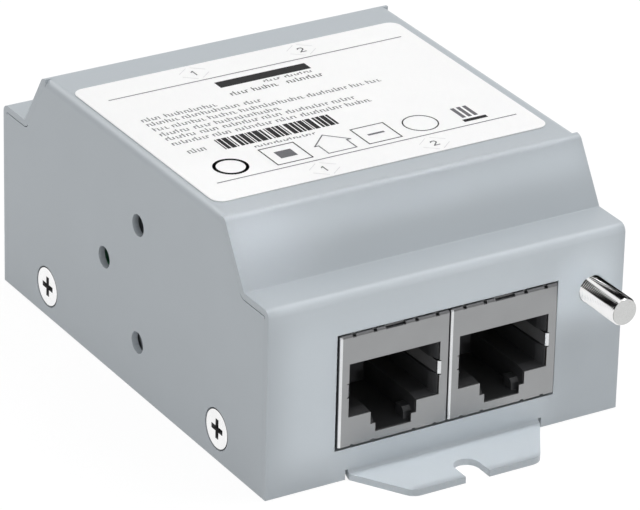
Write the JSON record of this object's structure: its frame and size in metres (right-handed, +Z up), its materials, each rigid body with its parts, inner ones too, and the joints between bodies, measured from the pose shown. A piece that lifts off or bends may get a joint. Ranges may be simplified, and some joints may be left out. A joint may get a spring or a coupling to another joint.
{
  "type": "ethernet surge protector",
  "caption": "Small folded steel box that protects network lines from surges, with shielded sockets at both ends, slotted mounting ears, a ground stud and a printed label.",
  "frame": {"origin": "on the bottom plane, in the middle of the body", "axes": "+Z up, front end with the ground stud towards -Y, bracket holes on the left wall towards -X"},
  "size_m": [0.052, 0.0852, 0.0342],
  "materials": {
    "painted_steel": "smooth pale blue-grey powder coat, satin",
    "zinc_steel": "bright zinc plated sheet, satin",
    "screw_steel": "polished nickel plated countersunk screws",
    "stud_nickel": "polished nickel plated thread",
    "label_film": "printed film, satin",
    "board_laminate": "green solder mask on glass laminate",
    "standoff_brass": "turned brass",
    "board_screw_steel": "zinc plated pan head screws",
    "shield_steel": "tin plated sheet, satin",
    "insert_plastic": "black moulded plastic",
    "contact_gold": "gold plated wires",
    "tube_ceramic": "white ceramic tube with metal caps",
    "array_epoxy": "black moulded epoxy"
  },
  "bodies": {
    "root": {"housing": "painted_steel", "base_tray": "zinc_steel", "side_screw_front_left": "screw_steel", "side_screw_front_right": "screw_steel", "side_screw_rear_left": "screw_steel", "side_screw_rear_right": "screw_steel", "ground_stud": "stud_nickel", "rating_label": "label_film", "circuit_board": "board_laminate", "board_standoff_front_left": "standoff_brass", "board_standoff_front_right": "standoff_brass", "board_standoff_rear_left": "standoff_brass", "board_standoff_rear_right": "standoff_brass", "board_screw_front_left": "board_screw_steel", "board_screw_front_right": "board_screw_steel", "board_screw_rear_left": "board_screw_steel", "board_screw_rear_right": "board_screw_steel", "jack_shield_front_left": "shield_steel", "jack_insert_front_left": "insert_plastic", "jack_contacts_front_left": "contact_gold", "jack_shield_front_right": "shield_steel", "jack_insert_front_right": "insert_plastic", "jack_contacts_front_right": "contact_gold", "jack_shield_rear_left": "shield_steel", "jack_insert_rear_left": "insert_plastic", "jack_contacts_rear_left": "contact_gold", "jack_shield_rear_right": "shield_steel", "jack_insert_rear_right": "insert_plastic", "jack_contacts_rear_right": "contact_gold", "discharge_tube_front_1": "tube_ceramic", "discharge_tube_front_2": "tube_ceramic", "discharge_tube_front_3": "tube_ceramic", "discharge_tube_front_4": "tube_ceramic", "discharge_tube_rear_1": "tube_ceramic", "discharge_tube_rear_2": "tube_ceramic", "discharge_tube_rear_3": "tube_ceramic", "discharge_tube_rear_4": "tube_ceramic", "diode_array_front_left": "array_epoxy", "diode_array_front_right": "array_epoxy", "diode_array_rear_left": "array_epoxy", "diode_array_rear_right": "array_epoxy"}
  },
  "joints": []
}
